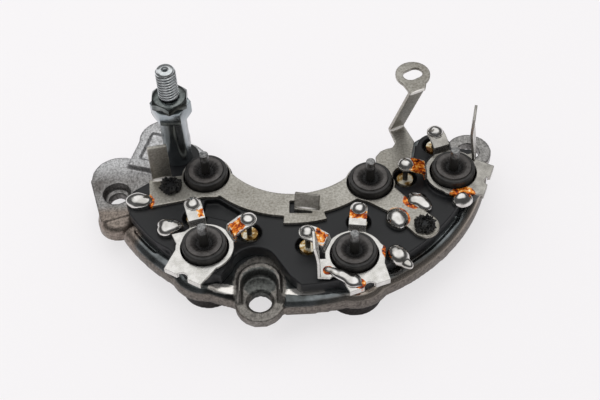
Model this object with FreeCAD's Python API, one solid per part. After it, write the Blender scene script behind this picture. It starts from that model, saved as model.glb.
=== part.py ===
import FreeCAD, Part
import math
import os

# Alternator rectifier, in millimetres. The origin is the axis of the front lug's bore at the lug's
# underside. +Z is up, and +Y runs from the front lug towards the alternator's shaft.
Vector = FreeCAD.Vector
UP = Vector(0, 0, 1)


def at(centre, reach, heading):
    """The point a given reach from a centre, at a heading in degrees from +X."""
    angle = math.radians(heading)
    return Vector(centre.x + reach * math.cos(angle), centre.y + reach * math.sin(angle), 0)


def outline(place, offsets):
    """Plan points given as steps from a place."""
    return [place + Vector(x, y, 0) for x, y in offsets]


# Levels above the front lug's underside
plate_bottom = 0.0          # underside of the cast plate and of the lugs
foot_drop = 7.5             # how far the diode bosses reach below the cast plate
plate_thickness = 5.0
lug_thickness = 3.0
ear_height = 6.0
ear_drop = 2.0              # how far the left ear reaches below the cast plate
board_thickness = 3.9
bar_thickness = 1.1
phase_thickness = 0.8
phase_step = 1.5            # phase plates stand this much higher than the bus bar

plate_top = plate_bottom + plate_thickness
deck = plate_top + board_thickness
bar_top = deck + bar_thickness
phase_top = bar_top + phase_step
phase_bottom = phase_top - phase_thickness
lug_top = plate_bottom + lug_thickness
ear_bottom = plate_bottom - ear_drop
ear_top = ear_bottom + ear_height
foot_level = plate_bottom - foot_drop
below = foot_level - 1      # cutters run from below every piece
above = foot_level + 70     # to above every piece

# The alternator's shaft axis, which the diode rows and the rim are centred on
shaft = Vector(11.3, 56.8, 0)
outer_row_radius = 50.7
row_pitch = 20.3            # between the two rows of diodes
rim_margin = 9.5            # from the outer row to the casting's edge
inner_row_radius = outer_row_radius - row_pitch
bar_inner_radius = inner_row_radius - 6.5
bar_outer_radius = inner_row_radius + 1.9
bar_step_radius = bar_outer_radius + 2.7
casting_inner_radius = bar_inner_radius - 1.1
rim_radius = outer_row_radius + rim_margin
rim_round = 3.4
rim_inset = 4.0             # the board stops this far inside the rim
groove_width = 0.9          # groove in the casting between the board and the rounded rim
groove_depth = 0.8
inner_headings = (209.5, -43.0)
outer_headings = (-121.3, -71.9, -22.4)
step_headings = (-96.5, -75.5)
groove_spans = ((-147.0, -136.0), (-58.0, -34.0))

# Press-fit diodes
cup_radius = 6.4
cup_height = 11.0
cup_wall = 1.2
cup_stand = 2.1             # how far a cup stands above the sheet round it
cup_chamfer = 0.3
seal_stand = 0.35
seal_gap = 0.03
seal_depth = 3.0
funnel_radius = 3.9
funnel_floor_radius = 2.3
funnel_depth = 1.0
lead_radius = 1.35
lead_rise = 9.2             # lead tip above the sheet round it
lead_round = 0.3
sheet_gap = 0.5             # air between a cup and the sheet or board round it
boss_wall = 1.8
boss_lip = 1.2              # flat ring round the foot of a boss
boss_recess = 1.5           # how far the foot of a boss is hollowed inside that ring
boss_fillet = 2.8

# Cell diodes under the phase plates' tabs
cell_radius = 2.4
cell_stand = 0.4            # how far a cell stays below the deck
cell_lead_radius = 0.8
lead_hole_gap = 0.1
well_gap = 1.1
t1_reach = 13.5             # diode centre to the first tab's lead
t2_reach = 14.1

# Bus bar: the upright regulator tab, and the flap bent up from the window
tab_rise = 13.8
flap_length = 4.7
flap_lean = 22.0            # degrees from upright

# Eyelet at the end of the bus bar's arm
eyelet_radius = 5.1
eyelet_hole_radius = 2.15
eyelet_slot = 1.7
eyelet_rise = 22.8          # eyelet's upper face above the bus bar's

# Phase plates
ring_radius = 8.3
land_inset = 0.4            # the board's land under a ring stays this far inside the ring's edge
foot_reaches = (11.8, 11.8, 10.9)
foot_width = 12.0
notch_radius = 1.8
lip_drop = 1.9
tab_width = 5.0
tab_end_height = 15.1
tab_joggle = 2.3
tab_solder_radius = 2.45
tab_solder_rise = 1.4
cell_lead_tip = tab_end_height + 0.8
tab_headings = ((104.5, 27.0), (81.0, 156.0), (107.5, 178.0))
blade_width = 6.3
blade_thickness = 0.8
blade_bend = 1.0            # how far the second plate's blade is bent over at its tip
blade_bow = 1.5             # how far the third plate's blade is bowed

# Exciter diodes, with their solder joints on the deck
exciter_radius = 1.5
exciter_body = 5.2
exciter_leg_radius = 0.45
exciter_pitch = 13.2
exciter_gap = 0.3
exciter_offsets = ((-15.4, 14.3, -51.0), (13.0, 6.5, -91.0), (-5.0, -9.3, -3.0))
joint_width = 5.0
joint_rise = 2.3
plate_joint_extra = 0.8     # the joints at the phase plates stand higher
stake_radius = 1.8          # heat stakes that hold the bus bar down
stake_head_reach = 2.8      # melted head, spread over the bus bar in six lobes
stake_head_height = 0.8
stake_lobe_half = 0.8

# Mounting holes
lug_radius = 7.1
lug_hole_radius = 3.3
lug_hole_relief = 0.7
recess_radius = 5.2         # slot in the plate for the front fixing screw's head
recess_centre = Vector(0, 3.4, 0)
collar_radius = 6.1         # wall round that slot
collar_height = 1.4
collar_gap = 0.1
collar_centre = Vector(0, 5.0, 0)
crown_centre = Vector(-1.1, 8.0, 0)
crown_radius = 6.6          # crown of the board's bell-shaped cut-out over the front lug
right_lug = Vector(65.4, 52.9, 0)
right_lug_radius = 7.0
left_ear = Vector(-42.9, 41.3, 0)
ear_back_radius = 8.3
ear_lobe_radius = 6.2       # lower front lobe
ear_lobe_round = 2.6
ear_counterbore_radius = 4.1
ear_counterbore_depth = 3.0
ear_hole_radius = 2.65

# Output stud
stud = at(shaft, inner_row_radius + 5.2, 189.7)
stud_radius = 3.0
shank_radius = 2.6          # in and below the nut, at the depth of the thread
thread_gap = 0.05
stud_top = 45.6
stud_chamfer = 0.8
stud_gap = 0.3
sleeve_radius = 4.1
sleeve_top = 27.3
hex_height = 5.0            # hexagon at the sleeve's top
hex_across = 10.4
nut_across = 10.0
nut_height = 2.8
spigot_wall = 1.45
spigot_gap = 0.1
washer_radius = 7.4
washer_thickness = 1.5
washer_gap = 0.5
head_radius = 5.5
head_height = 2.6
arm_top = plate_top + 1.0
arm_foot = stud + Vector(-9.2, -1.8, 0)
arm_end = stud + Vector(-5.2, 10.7, 0)
arm_half = 7.4
stud_pad_radius = 8.6
arm_gap = 0.1
pan_half = 4.6              # shallow pan in the arm
pan_depth = 1.0


def rod(centre, radius, low, high):
    return Part.makeCylinder(radius, high - low, Vector(centre.x, centre.y, low), UP)


def slab(points, low, high):
    """A straight-sided block on a plan outline."""
    loop = [Vector(p.x, p.y, low) for p in points]
    return Part.Face(Part.makePolygon(loop + loop[:1])).extrude(Vector(0, 0, high - low))


def sector(inner, outer, low, high, start, end):
    """A piece of a ring round the shaft axis between two headings."""
    ring = Part.makeCylinder(outer, high - low, Vector(0, 0, 0), UP, end - start)
    ring = ring.cut(Part.makeCylinder(inner, high - low))
    ring.rotate(Vector(0, 0, 0), UP, start)
    ring.translate(Vector(shaft.x, shaft.y, low))
    return ring


def domed_rod(centre, radius, low, high, rounding):
    """A disc whose upper edge is rounded over."""
    disc = rod(centre, radius, low, high)
    top = [e for e in disc.Edges if e.BoundBox.ZMin > high - 0.01]
    return disc.makeFillet(rounding, top)


def bar_between(a, b, half, low, high):
    """A strip of a given half width from one plan point to another."""
    run = Vector(b.x - a.x, b.y - a.y, 0).normalize()
    side = Vector(-run.y, run.x, 0) * half
    return slab([a + side, a - side, b - side, b + side], low, high)


def hexagon(centre, across, low, high, turn=0.0):
    corner = across / math.sqrt(3)
    return slab([at(centre, corner, turn + 60 * i) for i in range(6)], low, high)


def join(shapes):
    whole = shapes[0].multiFuse(shapes[1:])
    return whole.removeSplitter()


def save(name, shape):
    shape.exportStep("parts/" + name + ".step")
    box = shape.BoundBox
    print(name, len(shape.Solids), "solid", round(shape.Volume, 1), "mm3", shape.isValid(),
          [round(v, 1) for v in (box.XMin, box.XMax, box.YMin, box.YMax, box.ZMin, box.ZMax)])


inner_diodes = [at(shaft, inner_row_radius, h) for h in inner_headings]
outer_diodes = [at(shaft, outer_row_radius, h) for h in outer_headings]
cell_places = []
for place, (first, second) in zip(outer_diodes, tab_headings):
    cell_places.append(at(place, t1_reach, first))
    cell_places.append(at(place, t2_reach, second))
stake_places = outline(inner_diodes[0], [(-10.4, -4.1)]) + outline(inner_diodes[1], [(14.4, -17.3)])
flap_place = at(shaft, inner_row_radius, -90)
exciter_places = [(place.x + x, place.y + y, heading)
                  for place, (x, y, heading) in zip(outer_diodes, exciter_offsets)]
cup_hole = cup_radius + sheet_gap
well_radius = cell_radius + well_gap
exciter_level = plate_top + exciter_radius + 0.2
spigot_radius = stud_radius + stud_gap + spigot_wall


def seat(place):
    """Underside level of the cup at a place: outer cups stand higher with their plates."""
    sheet = phase_top if place in outer_diodes else bar_top
    return sheet + cup_stand - cup_height


def exciter_ends(x, y, heading):
    centre = Vector(x, y, 0)
    return at(centre, exciter_pitch / 2, heading + 180), at(centre, exciter_pitch / 2, heading)


def base_casting():
    """Die-cast aluminium crescent with a rounded rim, diode bosses, three mounting lugs and the stud arm."""
    disc = domed_rod(shaft, rim_radius, plate_bottom, plate_top, rim_round)
    keep = sector(casting_inner_radius, rim_radius + 1, plate_bottom, plate_top, -149.0, -24.0)
    keep = keep.fuse(sector(bar_step_radius + 1.5, rim_radius + 1, plate_bottom, plate_top, -31.0, -8.0))
    keep = keep.fuse(rod(cell_places[4], 7.8, plate_bottom, plate_top))
    crescent = disc.common(keep)
    boss_radius = cup_radius + boss_wall
    solids = [crescent]
    for place in outer_diodes[:2]:
        solids.append(domed_rod(place, boss_radius + boss_fillet, plate_bottom, plate_top, rim_round))
    for place in inner_diodes + outer_diodes:
        solids.append(rod(place, boss_radius, foot_level, plate_top))

    # Left ear: rounded back boss, flat top, and a lower front lobe rounded over its upper edge
    back = at(left_ear, 6.5, 89.0)
    solids.append(slab(outline(left_ear, [(-8.5, 5.7), (-4.0, -10.9), (6.9, -7.5), (14.9, -3.3),
                                          (14.9, 8.7), (6.9, 14.2)]), ear_bottom, ear_top))
    solids.append(rod(back, ear_back_radius, ear_bottom, ear_top))
    solids.append(domed_rod(left_ear + Vector(0.7, -7.6, 0), ear_lobe_radius, ear_bottom, ear_top - 0.6,
                            ear_lobe_round))

    # Arm behind the stud: a strip from the ear to a round pad, with a raised edge round a shallow pan
    solids.append(rod(arm_end, arm_half + 0.6, plate_bottom, arm_top))
    solids.append(bar_between(arm_foot, arm_end, arm_half, plate_bottom, arm_top))
    solids.append(rod(stud, stud_pad_radius, plate_bottom, arm_top))

    # Front and right mounting lugs
    origin = Vector(0, 0, 0)
    solids.append(rod(origin, lug_radius, plate_bottom, lug_top))
    solids.append(rod(right_lug, right_lug_radius, plate_bottom, lug_top))
    collar_top = plate_top + collar_height
    solids.append(rod(collar_centre, collar_radius, plate_bottom, collar_top))
    solids.append(bar_between(collar_centre, Vector(0, -lug_hole_radius, 0), collar_radius, plate_bottom, collar_top))
    casting = join(solids)

    cuts = []
    for place in inner_diodes + outer_diodes:
        cuts.append(rod(place, cup_radius, seat(place), above))
        cuts.append(rod(place, cup_radius - boss_lip, below, foot_level + boss_recess))
    cuts.append(rod(recess_centre, recess_radius, lug_top, above))
    front = Vector(0, -lug_radius - 1, 0)
    cuts.append(bar_between(recess_centre, front, recess_radius, lug_top, above))
    # The wall's two ends slope down to the lug
    slope = Part.Face(Part.makePolygon([Vector(-lug_radius, front.y, lug_top), Vector(-lug_radius, -1.6, lug_top),
                                        Vector(-lug_radius, 1.6, collar_top), Vector(-lug_radius, 1.6, above),
                                        Vector(-lug_radius, front.y, above), Vector(-lug_radius, front.y, lug_top)]))
    cuts.append(slope.extrude(Vector(2 * lug_radius, 0, 0)).common(rod(origin, lug_radius, lug_top, above)))
    cuts.append(rod(origin, lug_hole_radius, below, above))
    cuts.append(rod(origin, lug_hole_radius + lug_hole_relief, lug_top - 0.5, above))
    cuts.append(rod(right_lug, right_lug_radius, lug_top, above))
    cuts.append(rod(right_lug, lug_hole_radius, below, above))
    cuts.append(rod(left_ear, ear_counterbore_radius, ear_top - ear_counterbore_depth, above))
    cuts.append(rod(left_ear, ear_hole_radius, below, above))
    board_edge = rim_radius - rim_inset
    for start, end in groove_spans:
        cuts.append(sector(board_edge, board_edge + groove_width, plate_top - groove_depth, above, start, end))
    cuts.append(rod(stud, spigot_radius + spigot_gap, below, above))
    cuts.append(rod(stud, washer_radius + washer_gap, below, plate_bottom))
    cuts.append(bar_between(at(arm_foot, 3.5, 75), at(arm_end, 1.5, 75), pan_half, arm_top - pan_depth, above)
                .cut(rod(stud, stud_pad_radius + 1.0, below, above)))
    return casting.cut(join(cuts))


def board_outline():
    """The moulding's plan as one block: crescent, round lands, the left wing and the stud's tongue."""
    low = plate_top
    rim = rim_radius - rim_inset
    solids = [sector(bar_inner_radius + 1.2, rim, low, deck, -151.0, -31.0),
              sector(bar_step_radius + 2.5, rim, low, deck, -32.0, -9.0),
              rod(cell_places[4], well_radius + 1.6, low, deck),
              rod(cell_places[5], well_radius + 1.2, low, deck)]
    for place in outer_diodes[:2]:
        solids.append(rod(place, cup_radius + boss_wall + 0.2, low, deck))
    solids.append(rod(outer_diodes[2], ring_radius + 0.8, low, deck))
    for place in inner_diodes:
        solids.append(rod(place, cup_radius + boss_wall - 0.4, low, deck))
    for place in outer_diodes:
        solids.append(rod(place, ring_radius - land_inset, low, phase_bottom))
    solids.append(slab(outline(inner_diodes[0], [(-23.8, -8.4), (-19.8, -18.8), (-15.3, -30.3), (-4.8, -16.8),
                                                 (1.2, -7.8), (-6.3, -0.8), (-17.2, -0.8), (-22.0, -4.2)]), low, deck))
    return join(solids)


def insulator_board():
    """Black moulded board: deck, wells for the cells, the lug cut-out, stakes and the stud's tongue."""
    board = board_outline()
    tongue = bar_between(stud, stake_places[0], 5.6, arm_top, deck)
    tongue = tongue.fuse(rod(stud, sleeve_radius + 2.2, arm_top, deck))
    spigot = rod(stud, spigot_radius, plate_bottom, deck)
    posts = []
    for place in stake_places:
        posts.append(rod(place, stake_radius, deck - 1, bar_top))
        for turn in range(6):
            posts.append(bar_between(place, at(place, stake_head_reach, 60 * turn), stake_lobe_half,
                                     bar_top, bar_top + stake_head_height))
    board = join([board, tongue, spigot] + posts)

    cuts = [rod(stud, stud_radius + stud_gap, below, above)]
    # The raised stud arm and pad stand where the board would be, and the ear's hole stays free
    cuts.append(rod(left_ear, ear_counterbore_radius + 0.4, below, above))
    arm_space = rod(stud, stud_pad_radius + arm_gap, plate_bottom, arm_top)
    arm_space = arm_space.fuse(bar_between(arm_foot, arm_end, arm_half + arm_gap, plate_bottom, arm_top))
    cuts.append(arm_space.cut(rod(stud, spigot_radius, below, above)))
    for place in inner_diodes + outer_diodes:
        cuts.append(rod(place, cup_hole, below, above))
    for place in cell_places:
        cuts.append(rod(place, well_radius, below, above))
    # Bell-shaped cut-out round the front lug, with its crown rounded
    bell = outline(Vector(0, 0, 0), [(-30, -14), (-11.5, 4.0), (-7.6, 9.2), (5.0, 10.6), (8.7, 4.1), (11.6, 0.9),
                                     (16.9, -1.6), (26, -2.6), (30, -14)])
    cuts.append(slab(bell, below, above))
    cuts.append(rod(crown_centre, crown_radius, below, above))
    cuts.append(rod(collar_centre, collar_radius + collar_gap, below, above))
    for x, y, heading in exciter_places:
        first, last = exciter_ends(x, y, heading)
        centre = Vector(x, y, 0)
        half_body = exciter_body / 2 + exciter_gap
        cuts.append(bar_between(first, last, exciter_leg_radius + exciter_gap, plate_top,
                                exciter_level + exciter_leg_radius + exciter_gap))
        cuts.append(bar_between(at(centre, half_body, heading + 180), at(centre, half_body, heading),
                                exciter_radius + exciter_gap, plate_top,
                                exciter_level + exciter_radius + exciter_gap))
        for end in (first, last):
            cuts.append(rod(end, exciter_leg_radius + exciter_gap, plate_top, above))
    # Sunk floor behind the first phase plate and along the rim's left end
    first = outer_diodes[0]
    cuts.append(slab(outline(first, [(-0.4, 19.5), (-1.2, 14.0), (7.0, 11.0), (10.0, 14.1), (3.4, 19.5)]),
                     deck - 2.0, above))
    groove_end = first + Vector(-11.6, 0.5, 0)
    cuts.append(bar_between(first + Vector(-16.6, 4.1, 0), groove_end, 1.7, deck - 1.6, above))
    cuts.append(rod(groove_end, 1.7, deck - 1.6, above))
    return board.cut(join(cuts))


def bus_bar():
    """One pressed sheet: crescent, left block with upright tab, right branch, rising arm and eyelet."""
    low = deck
    solids = [sector(bar_inner_radius, bar_outer_radius, low, bar_top, -151.0, -43.0),
              sector(bar_outer_radius - 2, bar_step_radius, low, bar_top, *step_headings)]
    for place in inner_diodes:
        solids.append(rod(place, cup_hole + 0.5, low, bar_top))
    left, right = inner_diodes
    solids.append(slab(outline(left, [(-16.4, -11.4), (-0.8, -8.6), (3.6, -8.8), (5.2, -1.8), (-4.8, 0.6),
                                      (-17.2, -0.9)]), low, bar_top))
    solids.append(rod(stake_places[1], 4.2, low, bar_top))
    solids.append(slab(outline(right, [(-2.5, -6.5), (4.9, -11.9), (11.7, -20.5), (17.7, -14.7), (11.1, -7.7),
                                       (6.6, -1.7)]), low, bar_top))
    solids.append(slab(outline(right, [(2.5, 5.9), (5.0, -3.1), (12.9, 7.9), (14.6, 15.6), (12.1, 22.4),
                                       (7.6, 20.4), (8.8, 15.3), (7.7, 13.4), (5.8, 13.0), (3.9, 12.0),
                                       (2.3, 9.8)]), low, bar_top))
    fold = [right + Vector(7.6, 20.4, bar_top), right + Vector(12.1, 22.4, bar_top)]

    # Upright regulator tab at the left block's back edge
    tab_left, tab_right = outline(left, [(-16.1, -0.9), (-10.4, 0.1)])
    solids.append(bar_between(tab_left, tab_right, bar_thickness / 2, low, bar_top + tab_rise))

    # Arm: a round fold at the branch's end, a leaning strip, and the flat eyelet behind its head
    run = (fold[1] - fold[0]).normalize()
    head = [p + Vector(4.7, -7.2, eyelet_rise) for p in fold]
    back = run.cross(head[0] - fold[0]).normalize() * -bar_thickness
    down = Vector(0, 0, -bar_thickness)
    outer = (back + down).normalize() * bar_thickness
    bend = Part.Wire([Part.LineSegment(fold[0], fold[0] + down).toShape(),
                      Part.Arc(fold[0] + down, fold[0] + outer, fold[0] + back).toShape(),
                      Part.LineSegment(fold[0] + back, fold[0]).toShape()])
    solids.append(Part.Face(bend).extrude(fold[1] - fold[0]))
    eye_level = bar_top + eyelet_rise
    eye = right + Vector(13.7, 21.4, 0)
    strip = Part.Face(Part.makePolygon([fold[0], fold[1], head[1], head[0], fold[0]])).extrude(back)
    solids.append(strip.cut(rod(eye, 30, eye_level, above)))
    solids.append(rod(eye, eyelet_radius, eye_level - bar_thickness, eye_level))
    solids.append(slab([head[0], head[1], at(eye, 4.7, 10), at(eye, 4.7, 190)],
                       eye_level - bar_thickness, eye_level))
    bar = join(solids)

    slot_ends = [at(eye, eyelet_slot / 2, 208), at(eye, eyelet_slot / 2, 28)]
    cuts = [bar_between(slot_ends[0], slot_ends[1], eyelet_hole_radius, eye_level - 3, above)]
    for place in slot_ends:
        cuts.append(rod(place, eyelet_hole_radius, eye_level - 3, above))
    for place in inner_diodes:
        cuts.append(rod(place, cup_hole, low - 1, bar_top + 1))
    for place in cell_places:
        cuts.append(rod(place, well_radius + 0.2, low - 1, bar_top + 1))
    for place in stake_places:
        cuts.append(rod(place, stake_radius + 0.2, low - 1, bar_top + 1))
    for x, y, heading in exciter_places:
        cuts.append(rod(exciter_ends(x, y, heading)[0], exciter_leg_radius + exciter_gap, low - 1, bar_top + 1))
    window = outline(flap_place, [(-2.0, -0.7), (4.6, -1.1), (4.8, 3.5), (-1.8, 3.9)])
    cuts.append(slab(window, low - 1, bar_top + 1))
    bar = bar.cut(join(cuts))

    # Flap bent up along the window's front edge, leaning back
    hinge = outline(flap_place, [(-0.6, 1.2), (6.6, -0.3)])
    flap = bar_between(hinge[0], hinge[1], bar_thickness / 2, low, bar_top + flap_length)
    run = hinge[1] - hinge[0]
    flap.rotate(hinge[0] + Vector(0, 0, deck), run, -flap_lean)
    flap = flap.common(slab(outline(flap_place, [(-9, -9), (9, -9), (9, 9), (-9, 9)]), low, above))
    flap = flap.fuse(bar_between(hinge[0], hinge[1], bar_thickness / 2, low, bar_top))
    return join([bar, flap])


def phase_tab(place, heading, reach):
    """A tab bent up from the ring to its lead: a joggle, a slope and a rounded flat end."""
    out = Vector(math.cos(math.radians(heading)), math.sin(math.radians(heading)), 0)
    side = Vector(-out.y, out.x, 0)
    t = phase_thickness
    low = phase_bottom
    end = tab_end_height
    profile = [(ring_radius - 1.2, low), (ring_radius + 0.4, low), (ring_radius + 0.9, low + tab_joggle),
               (reach - 1.6, end - t), (reach, end - t), (reach, end), (reach - 2.0, end),
               (ring_radius + 0.1, low + tab_joggle + t), (ring_radius - 0.4, low + t), (ring_radius - 1.2, low + t)]
    start = Vector(place.x, place.y, 0) + side * (tab_width / 2)
    loop = [start + out * s + Vector(0, 0, z) for s, z in profile]
    strip = Part.Face(Part.makePolygon(loop + loop[:1])).extrude(side * -tab_width)
    lead = at(place, reach, heading)
    return strip.fuse(rod(lead, tab_width / 2, end - t, end))


def blade(foot, heading, offsets, low):
    """An upright terminal blade, bent sideways by the offset given at each height above its foot."""
    along = Vector(math.cos(math.radians(heading)), math.sin(math.radians(heading)), 0)
    across = Vector(along.y, -along.x, 0)
    near = [foot + across * x + Vector(0, 0, low + z) for x, z in offsets]
    far = [foot + across * (x + blade_thickness) + Vector(0, 0, low + z) for x, z in reversed(offsets)]
    loop = near + far
    return Part.Face(Part.makePolygon(loop + loop[:1])).extrude(along * blade_width)


def phase_plate(index):
    """Tin-plated sheet: a ring round its diode, a radial foot with a notch and lip, and two tabs."""
    place = outer_diodes[index]
    radial = outer_headings[index]
    foot_reach = foot_reaches[index]
    low = phase_bottom
    half = foot_width / 2
    corner_left = at(at(place, foot_reach, radial), half, radial - 90)
    corner_right = at(at(place, foot_reach, radial), half, radial + 90)
    solids = [rod(place, ring_radius, low, phase_top)]
    solids.append(slab([at(place, 7.6, radial - 68), corner_left, corner_right, at(place, 7.6, radial + 68)],
                       low, phase_top))
    lip_middle = foot_reach - phase_thickness / 2
    lip_left = at(at(place, lip_middle, radial), half, radial - 90)
    lip_right = at(at(place, lip_middle, radial), half, radial + 90)
    solids.append(bar_between(lip_left, lip_right, phase_thickness / 2, phase_top - lip_drop, phase_top))
    solids.append(phase_tab(place, tab_headings[index][0], t1_reach))
    solids.append(phase_tab(place, tab_headings[index][1], t2_reach))

    # The corner that reaches the exciter diode's solder joint, and the upright terminal blade
    if index == 0:
        solids.append(slab([at(place, 8.0, 130), at(place, 10.8, 152), at(place, 8.0, 172)], low, phase_top))
    if index == 1:
        solids.append(slab([at(place, 7.9, 50), at(place, 9.1, 12), at(place, 11.4, -48), at(place, 5.0, -60)],
                           low, phase_top))
        wing = outline(place, [(-10.35, -1.2), (-10.35, -7.7), (-7.25, -8.0), (-6.25, -7.2), (-3.85, -8.8),
                               (-2.45, -11.0), (-1.95, -13.1)])
        solids.append(slab([at(place, 7.6, 190)] + wing + [at(place, 6.0, -60)], low, phase_top))
        solids.append(blade(place + Vector(-10.75, -7.7, 0), 90,
                            [(0, 0), (0, 7.0), (-0.4 * blade_bend, 10.4), (-blade_bend, 13.6)], low))
    if index == 2:
        solids.append(slab([at(place, 8.0, 200), at(place, 8.9, 250), at(place, 10.6, 292),
                            at(place, 6.0, 300)], low, phase_top))
        solids.append(slab([at(place, 7.0, 10), at(place, 11.9, 2), at(place, 8.2, 27),
                            at(place, 9.6, 46), at(place, 7.0, 60)], low, phase_top))
        solids.append(blade(place + Vector(6.1, 3.5, 0), 77,
                            [(0, 0), (-0.3 * blade_bow, 4.0), (-blade_bow, 11.8), (-0.85 * blade_bow, 18.2)], low))
    plate = join(solids)

    cuts = [rod(place, cup_hole, low - 1, phase_top + 3),
            rod(at(place, foot_reach + 0.4, radial), notch_radius, low - 2, phase_top + 1)]
    for heading, reach in zip(tab_headings[index], (t1_reach, t2_reach)):
        cuts.append(rod(at(place, reach, heading), cell_lead_radius + lead_hole_gap, low, above))
    return plate.cut(join(cuts))


def press_diode(place):
    """A metal cup, its resin seal with a funnel round the lead, and the lead."""
    foot = seat(place)
    top = foot + cup_height
    sheet = top - cup_stand
    inner = cup_radius - cup_wall
    cup = rod(place, cup_radius, foot, top)
    rims = [e for e in cup.Edges if e.BoundBox.ZMin > top - 0.01 and e.BoundBox.XLength > cup_radius]
    cup = cup.makeChamfer(cup_chamfer, rims)
    cup = cup.cut(rod(place, inner, top - seal_depth, top + 1))
    seal = rod(place, inner - seal_gap, top - seal_depth, top + seal_stand)
    funnel_floor = top + seal_stand - funnel_depth
    funnel = Part.makeCone(funnel_floor_radius, funnel_radius, funnel_depth,
                           Vector(place.x, place.y, funnel_floor), UP)
    seal = seal.cut(funnel)
    lead = rod(place, lead_radius, funnel_floor, sheet + lead_rise)
    tip = [e for e in lead.Edges if e.BoundBox.ZMin > sheet + lead_rise - 0.01]
    lead = lead.makeFillet(lead_round, tip)
    return cup, seal, lead


def exciter_diode(x, y, heading):
    """A small axial diode lying under the deck, its legs turned up through it."""
    centre = Vector(x, y, exciter_level)
    axis = Vector(math.cos(math.radians(heading)), math.sin(math.radians(heading)), 0)
    body = Part.makeCylinder(exciter_radius, exciter_body, centre - axis * (exciter_body / 2), axis)
    wire = Part.makeCylinder(exciter_leg_radius, exciter_pitch, centre - axis * (exciter_pitch / 2), axis)
    legs = []
    for end in exciter_ends(x, y, heading):
        legs.append(rod(end, exciter_leg_radius, exciter_level, bar_top + 0.4))
        legs.append(Part.makeSphere(exciter_leg_radius, Vector(end.x, end.y, exciter_level)))
    return join([body, wire] + legs)


def blob(centre, length, width, low, rise, heading):
    """A smooth mound of solder on a flat surface."""
    ball = Part.makeSphere(1.0)
    form = FreeCAD.Matrix()
    form.scale(length / 2, width / 2, rise)
    mound = ball.transformGeometry(form)
    mound.rotate(Vector(0, 0, 0), UP, heading)
    mound.translate(Vector(centre.x, centre.y, low))
    return mound.common(slab([centre + Vector(x, y, 0) for x, y in ((-9, -9), (9, -9), (9, 9), (-9, 9))],
                             low, low + rise + 1))


def solder_cap(place, radius, low, rise):
    """A round drop of solder: part of a ball, cut flat at its base."""
    ball_radius = (radius ** 2 + rise ** 2) / (2 * rise)
    ball = Part.makeSphere(ball_radius, Vector(place.x, place.y, low + rise - ball_radius))
    return ball.common(rod(place, radius + 1, low, low + rise + 1))


os.makedirs("parts", exist_ok=True)

casting = base_casting()
board = insulator_board()
bar = bus_bar()
plates = [phase_plate(i) for i in range(3)]
save("base_casting", casting)
save("insulator_board", board)
save("bus_bar", bar)
for number, plate in enumerate(plates, 1):
    save("phase_plate_%d" % number, plate)

for number, place in enumerate(inner_diodes + outer_diodes, 1):
    cup, seal, lead = press_diode(place)
    save("press_diode_cup_%d" % number, cup)
    save("press_diode_seal_%d" % number, seal)
    save("press_diode_lead_%d" % number, lead)

for number, place in enumerate(cell_places, 1):
    cell_top = deck - cell_stand
    plate = plates[(number - 1) // 2]
    cell = rod(place, cell_radius, plate_top, cell_top)
    lead = rod(place, cell_lead_radius, cell_top, cell_lead_tip)
    save("cell_diode_%d" % number, cell)
    save("cell_lead_%d" % number, lead)
    joint = solder_cap(place, tab_solder_radius, tab_end_height, tab_solder_rise)
    save("tab_solder_%d" % number, joint.cut(lead).cut(plate))

for number, (x, y, heading) in enumerate(exciter_places, 1):
    diode = exciter_diode(x, y, heading)
    save("exciter_diode_%d" % number, diode)
    ends = exciter_ends(x, y, heading)
    lengths = (6.6, 6.2) if number != 2 else (6.0, 6.2)
    rises = (joint_rise, joint_rise + plate_joint_extra)
    for side, end, length, rise in zip(("bar", "plate"), ends, lengths, rises):
        joint = blob(end, length, joint_width, deck, rise, heading + 20)
        for other in [bar, board, diode] + plates:
            joint = joint.cut(other)
        biggest = max(joint.Solids, key=lambda solid: solid.Volume)
        save("%s_solder_%d" % (side, number), biggest)

seam = blob(outer_diodes[1] + Vector(-3.15, -8.0, 0), 11.5, 3.5, phase_top, 1.3, -35)
seam = seam.cut(rod(outer_diodes[1], cup_hole, below, above)).cut(plates[1])
save("blade_solder", max(seam.Solids, key=lambda solid: solid.Volume))

# Output stud group, from the board up to the nut and from the casting down to the head
stud_hole = rod(stud, stud_radius + stud_gap, below, above)
nut_low = sleeve_top + hex_height
head = hexagon(stud, hex_across, sleeve_top, nut_low)
flare = Part.makeCone(sleeve_radius + 0.2, sleeve_radius + 0.2 + 2 * hex_height, hex_height,
                      Vector(stud.x, stud.y, sleeve_top), UP)
sleeve = join([rod(stud, sleeve_radius, deck, nut_low), head.common(flare)])
save("stud_sleeve", sleeve.cut(stud_hole))
nut = hexagon(stud, nut_across, nut_low, nut_low + nut_height, 30.0)
crown = Part.makeSphere(nut_across / 2 + 1.0, Vector(stud.x, stud.y, nut_low + 1.0))
nut_hole = rod(stud, shank_radius + thread_gap, below, above)
save("stud_nut", nut.common(crown).cut(nut_hole))
washer_low = plate_bottom - washer_thickness
head_low = washer_low - head_height
thread = rod(stud, stud_radius, nut_low + nut_height, stud_top)
tip = [e for e in thread.Edges if e.BoundBox.ZMin > stud_top - 0.01]
thread = thread.makeChamfer(stud_chamfer, tip)
shank = rod(stud, shank_radius, head_low, nut_low + nut_height)
save("output_stud", join([thread, shank, rod(stud, head_radius, head_low, washer_low)]))
washer = rod(stud, washer_radius, washer_low, plate_bottom)
save("insulating_washer", washer.cut(stud_hole))
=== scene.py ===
import bpy
import math
from mathutils import Matrix, Vector


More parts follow.
